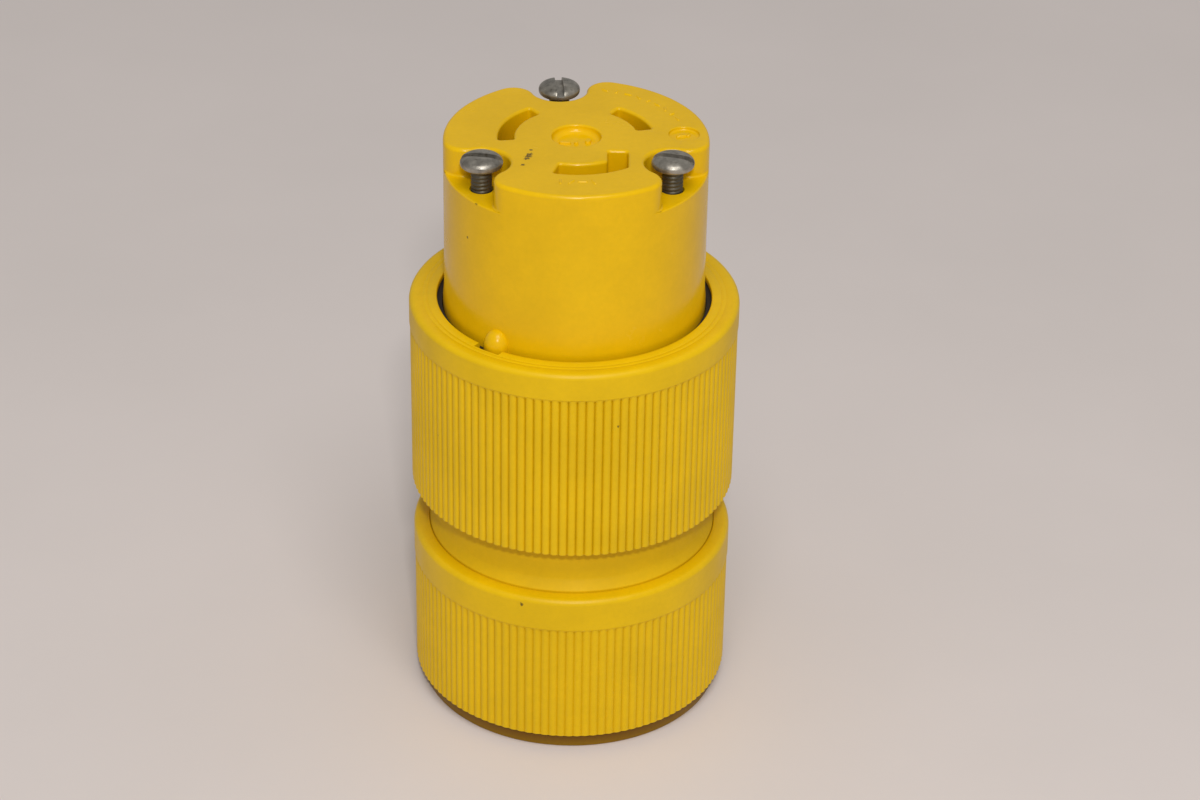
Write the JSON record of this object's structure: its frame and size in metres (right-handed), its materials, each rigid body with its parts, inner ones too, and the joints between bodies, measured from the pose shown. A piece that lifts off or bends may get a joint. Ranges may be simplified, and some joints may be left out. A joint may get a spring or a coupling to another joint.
{
  "type": "locking power connector body",
  "caption": "Round wet-location locking connector body for a cord end, with curved blade slots, a ribbed coupling sleeve, a ribbed cord nut and assembly screws in rim notches.",
  "frame": {"origin": "centre of the cord nut's flat end, where the connector stands", "axes": "+Z along the connector's axis from the cord nut towards the mating face; -Y towards the side that shows the left and right screw notches; +X to the right of that view"},
  "size_m": [0.0662, 0.0662, 0.1256],
  "materials": {
    "front_body_plastic": "glossy moulded thermoplastic, a little scuffed",
    "sleeve_plastic": "semi-gloss moulded thermoplastic with a ribbed grip",
    "housing_plastic": "glossy moulded thermoplastic",
    "nut_plastic": "semi-gloss moulded thermoplastic with a ribbed grip",
    "carrier_phenolic": "dark brown moulded insulator",
    "contact_brass": "formed sheet, half bright",
    "neutral_terminal_finish": "nickel plated",
    "hot_terminal_finish": "plain brass",
    "ground_terminal_finish": "green dyed",
    "clamp_plate_steel": "zinc plated",
    "gasket_rubber": "black moulded rubber",
    "assembly_screw_steel": "slightly tarnished stainless steel",
    "washer_fibre": "red vulcanised fibre",
    "insert_brass": "turned",
    "seal_rubber": "black moulded rubber, dusty",
    "thrust_ring_plastic": "natural acetal",
    "grommet_rubber": "black neoprene"
  },
  "bodies": {
    "nut": {"cord_nut": "nut_plastic"},
    "ring": {"thrust_ring": "thrust_ring_plastic"},
    "housing": {"rear_housing": "housing_plastic", "front_body": "front_body_plastic", "contact_carrier": "carrier_phenolic", "neutral_contact": "contact_brass", "hot_contact": "contact_brass", "ground_contact": "contact_brass", "housing_gasket": "gasket_rubber", "left_threaded_insert": "insert_brass", "right_threaded_insert": "insert_brass", "rear_threaded_insert": "insert_brass", "cord_grommet": "grommet_rubber"},
    "sleeve": {"coupling_sleeve": "sleeve_plastic", "sleeve_seal": "seal_rubber"},
    "left_washer": {"left_captive_washer": "washer_fibre"},
    "left_screw": {"left_assembly_screw": "assembly_screw_steel"},
    "right_washer": {"right_captive_washer": "washer_fibre"},
    "right_screw": {"right_assembly_screw": "assembly_screw_steel"},
    "rear_washer": {"rear_captive_washer": "washer_fibre"},
    "rear_screw": {"rear_assembly_screw": "assembly_screw_steel"},
    "neutral_plate": {"neutral_clamp_plate": "clamp_plate_steel"},
    "neutral_terminal": {"neutral_terminal_screw": "neutral_terminal_finish"},
    "hot_plate": {"hot_clamp_plate": "clamp_plate_steel"},
    "hot_terminal": {"hot_terminal_screw": "hot_terminal_finish"},
    "ground_plate": {"ground_clamp_plate": "clamp_plate_steel"},
    "ground_terminal": {"ground_terminal_screw": "ground_terminal_finish"}
  },
  "joints": [
    {"name": "nut_turn", "type": "hinge", "parent": "nut", "child": "ring", "pos_m": [0, 0, 0.007], "axis": [0, 0, 1], "range_deg": [-360, 720]},
    {"name": "housing_travel", "type": "slide", "parent": "ring", "child": "housing", "axis": [0, 0, 1], "range_m": [-0.0033, 0.0065]},
    {"name": "sleeve_slide", "type": "slide", "parent": "housing", "child": "sleeve", "axis": [0, 0, -1], "range_m": [0, 0.006]},
    {"name": "left_screw_travel", "type": "slide", "parent": "housing", "child": "left_washer", "axis": [0, 0, 1], "range_m": [-0.00476, 0]},
    {"name": "left_screw_turn", "type": "hinge", "parent": "left_washer", "child": "left_screw", "pos_m": [-0.01813, -0.01155, 0.0945], "axis": [0, 0, 1], "range_deg": [-2160, 0]},
    {"name": "right_screw_travel", "type": "slide", "parent": "housing", "child": "right_washer", "axis": [0, 0, 1], "range_m": [-0.00476, 0]},
    {"name": "right_screw_turn", "type": "hinge", "parent": "right_washer", "child": "right_screw", "pos_m": [0.01862, -0.01075, 0.0945], "axis": [0, 0, 1], "range_deg": [-2160, 0]},
    {"name": "rear_screw_travel", "type": "slide", "parent": "housing", "child": "rear_washer", "axis": [0, 0, 1], "range_m": [-0.00476, 0]},
    {"name": "rear_screw_turn", "type": "hinge", "parent": "rear_washer", "child": "rear_screw", "pos_m": [-0.00355, 0.02121, 0.0945], "axis": [0, 0, 1], "range_deg": [-2160, 0]},
    {"name": "neutral_terminal_travel", "type": "slide", "parent": "housing", "child": "neutral_plate", "axis": [0, 0, -1], "range_m": [0, 0.00238]},
    {"name": "neutral_terminal_turn", "type": "hinge", "parent": "neutral_plate", "child": "neutral_terminal", "pos_m": [-0.00666, 0.00273, 0.085], "axis": [0, 0, -1], "range_deg": [0, 1080]},
    {"name": "hot_terminal_travel", "type": "slide", "parent": "housing", "child": "hot_plate", "axis": [0, 0, -1], "range_m": [0, 0.00238]},
    {"name": "hot_terminal_turn", "type": "hinge", "parent": "hot_plate", "child": "hot_terminal", "pos_m": [0.00586, 0.00418, 0.085], "axis": [0, 0, -1], "range_deg": [0, 1080]},
    {"name": "ground_terminal_travel", "type": "slide", "parent": "housing", "child": "ground_plate", "axis": [0, 0, -1], "range_m": [0, 0.00238]},
    {"name": "ground_terminal_turn", "type": "hinge", "parent": "ground_plate", "child": "ground_terminal", "pos_m": [0.00138, -0.00707, 0.085], "axis": [0, 0, -1], "range_deg": [0, 1080]}
  ],
  "couplings": [
    {"joint": "housing_travel", "follows": "nut_turn", "m_per_rad": 0.0005093},
    {"joint": "left_screw_turn", "follows": "left_screw_travel", "rad_per_m": 7915.8},
    {"joint": "right_screw_turn", "follows": "right_screw_travel", "rad_per_m": 7915.8},
    {"joint": "rear_screw_turn", "follows": "rear_screw_travel", "rad_per_m": 7915.8},
    {"joint": "neutral_terminal_turn", "follows": "neutral_terminal_travel", "rad_per_m": 7915.8},
    {"joint": "hot_terminal_turn", "follows": "hot_terminal_travel", "rad_per_m": 7915.8},
    {"joint": "ground_terminal_turn", "follows": "ground_terminal_travel", "rad_per_m": 7915.8}
  ]
}
